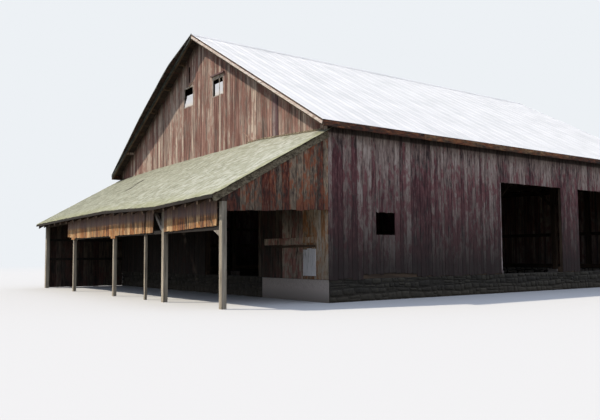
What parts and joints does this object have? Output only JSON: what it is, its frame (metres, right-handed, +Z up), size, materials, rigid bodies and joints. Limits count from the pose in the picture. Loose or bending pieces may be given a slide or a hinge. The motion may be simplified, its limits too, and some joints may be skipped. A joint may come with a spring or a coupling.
{
  "type": "timber barn with an open lean-to",
  "caption": "Old red timber barn with a white metal gable roof, wagon doorways in its long wall and an open shingled lean-to across its front gable.",
  "frame": {"origin": "on the level ground, at the middle of the whole building's box", "axes": "+X across the gables towards the long wall with the wagon doorways, +Y along the barn from the lean-to to the rear gable, +Z up"},
  "size_m": [15.88, 23.37, 9.6486],
  "materials": {
    "stone": "rough grey fieldstone and mortar, dirty at the foot",
    "roof_metal": "sun-bleached galvanised ribbed sheet, nearly white, a little rust",
    "deck_boards": "dark rough-sawn roof boards",
    "shingles": "old wood shingles bleached grey with lichen and moss at the eave",
    "rusty_fascia": "rough board with red rust stain, wavy lower edge",
    "pale_trim": "bleached board with worn cream paint",
    "window_pane": "clouded white pane",
    "side_boards": "weathered grey boards with worn red paint",
    "gable_boards": "sun-bleached boards with worn red paint",
    "hanging_boards": "short tan and grey boards with worn paint",
    "weathered_timber": "grey weathered timber",
    "frame_timber": "brown hewn timber"
  },
  "bodies": {
    "root": {"gable_foundations": "stone", "side_foundations": "stone", "post_piers": "stone", "side_sills": "frame_timber", "gable_sills": "frame_timber", "wall_posts": "frame_timber", "inner_posts": "frame_timber", "tie_beams": "frame_timber", "queen_posts": "frame_timber", "purlins": "frame_timber", "knee_braces": "frame_timber", "wall_plates": "frame_timber", "side_girts": "frame_timber", "gable_girts": "frame_timber", "door_lintels": "frame_timber", "rafters_left": "frame_timber", "rafters_right": "frame_timber", "ridge_board": "frame_timber", "right_wall_front": "side_boards", "right_wall_pier": "side_boards", "right_wall_rear": "side_boards", "right_wall_header": "side_boards", "left_wall": "side_boards", "front_wall": "gable_boards", "front_gable": "gable_boards", "rear_wall": "gable_boards", "roof_deck_left": "deck_boards", "roof_deck_right": "deck_boards", "roof_metal_left": "roof_metal", "roof_metal_right": "roof_metal", "ridge_cap": "roof_metal", "eave_fascias": "rusty_fascia", "rake_boards": "pale_trim", "window_frames": "pale_trim", "window_panes": "window_pane", "lean_to_posts": "weathered_timber", "lean_to_plate": "weathered_timber", "lean_to_rafters": "weathered_timber", "lean_to_ledger": "weathered_timber", "lean_to_braces": "weathered_timber", "lean_to_girts": "weathered_timber", "lean_to_valance": "hanging_boards", "lean_to_end_header": "gable_boards", "lean_to_left_wall": "gable_boards", "lean_to_deck": "shingles"}
  },
  "joints": []
}
